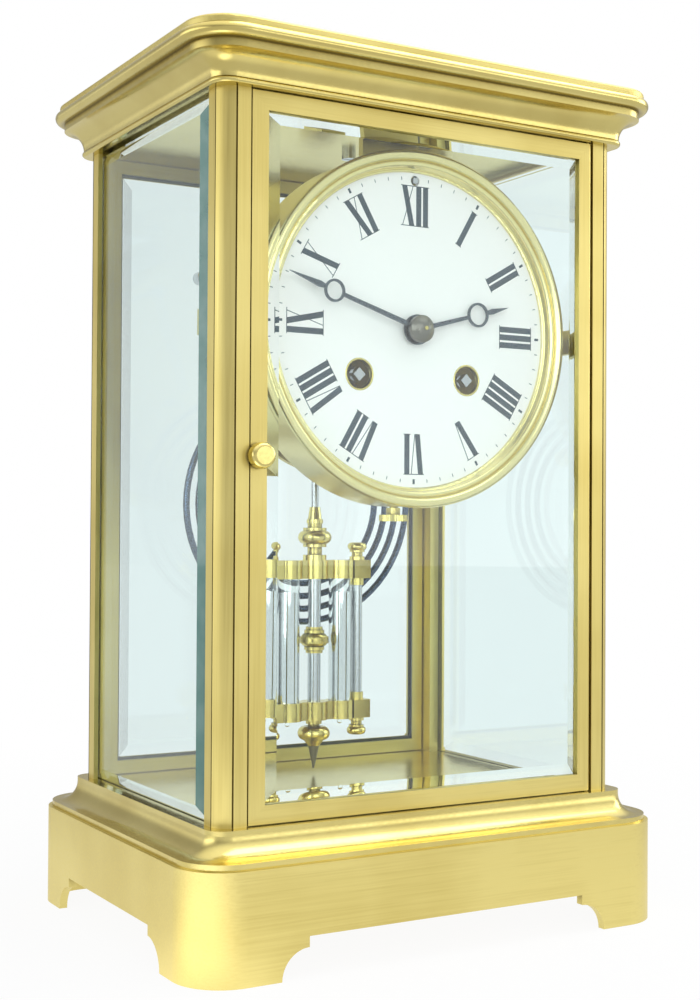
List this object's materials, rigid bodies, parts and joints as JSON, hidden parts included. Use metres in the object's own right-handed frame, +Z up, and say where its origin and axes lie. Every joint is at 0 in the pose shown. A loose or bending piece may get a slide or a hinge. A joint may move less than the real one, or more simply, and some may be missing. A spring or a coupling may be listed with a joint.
{
  "type": "mantel clock",
  "caption": "Brass four-glass mantel clock with bevelled glass doors, white enamel dial, striking movement, spiral gong and mercury pendulum.",
  "frame": {"origin": "middle of the footprint, on the plane the feet stand on", "axes": "+Z up, the dial and the front door face -Y, +X to the viewer's right"},
  "size_m": [0.164, 0.1294, 0.2634],
  "materials": {
    "polished_brass": "polished and lacquered",
    "satin_brass": "finely brushed and lacquered",
    "steel": "polished steel",
    "blued_steel": "heat-blued steel",
    "plate_glass": "clear, bevelled",
    "vial_glass": "clear tube",
    "enamel": "glossy white enamel",
    "quicksilver": "liquid metal"
  },
  "bodies": {
    "case": {"base_plinth": "satin_brass", "base_moulding": "polished_brass", "front_left_pillar": "polished_brass", "front_right_pillar": "polished_brass", "rear_left_pillar": "polished_brass", "rear_right_pillar": "polished_brass", "cornice": "polished_brass", "top_plate": "satin_brass", "case_screws": "steel", "left_glass": "plate_glass", "right_glass": "plate_glass", "movement_straps": "satin_brass", "bezel": "polished_brass", "dial": "enamel", "thumb_screw": "polished_brass", "front_plate": "satin_brass", "back_plate": "satin_brass", "plate_pillars": "polished_brass", "ratchet_clicks": "steel", "suspension_cock": "satin_brass", "gong": "blued_steel", "gong_stand": "satin_brass"},
    "front_door": {"front_door_frame": "satin_brass", "front_door_glass": "plate_glass"},
    "front_knob": {"front_door_knob": "polished_brass"},
    "back_door": {"back_door_frame": "satin_brass", "back_door_glass": "plate_glass"},
    "back_knob": {"back_door_knob": "polished_brass"},
    "minute": {"cannon_pinion": "steel", "minute_hand": "blued_steel", "hand_nut": "steel"},
    "motion": {"minute_wheel": "polished_brass"},
    "hour": {"hour_wheel": "polished_brass", "hour_hand": "blued_steel"},
    "escape": {"escape_wheel": "polished_brass"},
    "third": {"third_wheel": "polished_brass"},
    "centre": {"centre_wheel": "polished_brass"},
    "going_second": {"going_second_wheel": "polished_brass"},
    "going_drum": {"going_barrel": "polished_brass", "going_mainspring": "blued_steel"},
    "fly_vane": {"fly": "polished_brass"},
    "warning": {"warning_wheel": "polished_brass"},
    "locking": {"locking_wheel": "polished_brass"},
    "pin": {"pin_wheel": "polished_brass"},
    "strike_second": {"strike_second_wheel": "polished_brass"},
    "strike_drum": {"strike_barrel": "polished_brass", "strike_mainspring": "blued_steel"},
    "pendulum": {"suspension_spring": "steel", "pendulum_rod": "steel", "pendulum_bars": "polished_brass", "mercury_vials": "vial_glass", "mercury": "quicksilver", "pendulum_columns": "steel", "pendulum_collars": "polished_brass"},
    "anchor": {"pallet_anchor": "steel"},
    "hammer_arm": {"hammer": "steel"},
    "going_wind": {"going_winding_arbor": "steel"},
    "strike_wind": {"strike_winding_arbor": "steel"},
    "regulator": {"regulator_arbor": "steel"}
  },
  "joints": [
    {"name": "front_door_swing", "type": "hinge", "parent": "case", "child": "front_door", "pos_m": [0.05935, -0.0511, 0.1436], "axis": [0, 0, 1], "range_deg": [0, 100]},
    {"name": "front_knob_turn", "type": "hinge", "parent": "front_door", "child": "front_knob", "pos_m": [-0.05795, -0.0501, 0.1438], "axis": [0, 1, 0], "range_deg": [0, 90]},
    {"name": "back_door_swing", "type": "hinge", "parent": "case", "child": "back_door", "pos_m": [-0.05935, 0.0511, 0.1436], "axis": [0, 0, 1], "range_deg": [0, 100]},
    {"name": "back_knob_turn", "type": "hinge", "parent": "back_door", "child": "back_knob", "pos_m": [0.05795, 0.0501, 0.1438], "axis": [0, -1, 0], "range_deg": [0, 90]},
    {"name": "minute_turn", "type": "hinge", "parent": "case", "child": "minute", "pos_m": [0, -0.0305, 0.184], "axis": [0, 1, 0], "continuous": true},
    {"name": "motion_turn", "type": "hinge", "parent": "case", "child": "motion", "pos_m": [0, -0.0255, 0.1756], "axis": [0, 1, 0], "continuous": true},
    {"name": "hour_turn", "type": "hinge", "parent": "case", "child": "hour", "pos_m": [0, -0.0355, 0.184], "axis": [0, 1, 0], "continuous": true},
    {"name": "escape_turn", "type": "hinge", "parent": "case", "child": "escape", "pos_m": [0, 0, 0.211], "axis": [0, 1, 0], "continuous": true},
    {"name": "third_turn", "type": "hinge", "parent": "case", "child": "third", "pos_m": [0.00257, 0, 0.19979], "axis": [0, 1, 0], "continuous": true},
    {"name": "centre_turn", "type": "hinge", "parent": "case", "child": "centre", "pos_m": [0, 0, 0.184], "axis": [0, 1, 0], "continuous": true},
    {"name": "going_second_turn", "type": "hinge", "parent": "case", "child": "going_second", "pos_m": [0.01834, 0, 0.18893], "axis": [0, 1, 0], "continuous": true},
    {"name": "going_drum_turn", "type": "hinge", "parent": "case", "child": "going_drum", "pos_m": [0.0193, 0, 0.1696], "axis": [0, 1, 0], "continuous": true},
    {"name": "fly_turn", "type": "hinge", "parent": "case", "child": "fly_vane", "pos_m": [-0.03922, 0, 0.18411], "axis": [0, 1, 0], "continuous": true},
    {"name": "warning_turn", "type": "hinge", "parent": "case", "child": "warning", "pos_m": [-0.03179, 0, 0.18682], "axis": [0, 1, 0], "continuous": true},
    {"name": "locking_turn", "type": "hinge", "parent": "case", "child": "locking", "pos_m": [-0.03179, 0, 0.19592], "axis": [0, 1, 0], "continuous": true},
    {"name": "pin_turn", "type": "hinge", "parent": "case", "child": "pin", "pos_m": [-0.02221, 0, 0.19941], "axis": [0, 1, 0], "continuous": true},
    {"name": "strike_second_turn", "type": "hinge", "parent": "case", "child": "strike_second", "pos_m": [-0.01601, 0, 0.18867], "axis": [0, 1, 0], "continuous": true},
    {"name": "strike_drum_turn", "type": "hinge", "parent": "case", "child": "strike_drum", "pos_m": [-0.0193, 0, 0.1696], "axis": [0, 1, 0], "continuous": true},
    {"name": "pendulum_swing", "type": "hinge", "parent": "case", "child": "pendulum", "pos_m": [0, 0.0215, 0.231], "axis": [0, 1, 0], "range_deg": [-3, 3]},
    {"name": "anchor_rock", "type": "hinge", "parent": "case", "child": "anchor", "pos_m": [0, 0, 0.2237], "axis": [0, 1, 0], "range_deg": [-4, 4]},
    {"name": "hammer_lift", "type": "hinge", "parent": "case", "child": "hammer_arm", "pos_m": [-0.035, 0, 0.2065], "axis": [0, 1, 0], "range_deg": [0, 8]},
    {"name": "going_wind_turn", "type": "hinge", "parent": "case", "child": "going_wind", "pos_m": [0.0193, 0, 0.1696], "axis": [0, 1, 0], "range_deg": [0, 1800]},
    {"name": "strike_wind_turn", "type": "hinge", "parent": "case", "child": "strike_wind", "pos_m": [-0.0193, 0, 0.1696], "axis": [0, 1, 0], "range_deg": [0, 1800]},
    {"name": "regulator_turn", "type": "hinge", "parent": "case", "child": "regulator", "pos_m": [0, 0, 0.22965], "axis": [0, 1, 0], "range_deg": [-720, 720]}
  ],
  "couplings": [
    {"joint": "motion_turn", "follows": "minute_turn", "ratio": -0.33333},
    {"joint": "hour_turn", "follows": "minute_turn", "ratio": 0.083333},
    {"joint": "third_turn", "follows": "escape_turn", "ratio": -0.089744},
    {"joint": "centre_turn", "follows": "escape_turn", "ratio": 0.0074786},
    {"joint": "going_second_turn", "follows": "escape_turn", "ratio": -0.00093483},
    {"joint": "going_drum_turn", "follows": "escape_turn", "ratio": 0.00011685},
    {"joint": "warning_turn", "follows": "fly_turn", "ratio": -0.125},
    {"joint": "locking_turn", "follows": "fly_turn", "ratio": 0.015625},
    {"joint": "pin_turn", "follows": "fly_turn", "ratio": -0.0018229},
    {"joint": "strike_second_turn", "follows": "fly_turn", "ratio": 0.00020833},
    {"joint": "strike_drum_turn", "follows": "fly_turn", "ratio": -0.000026042},
    {"joint": "anchor_rock", "follows": "pendulum_swing", "ratio": 1.2128}
  ]
}
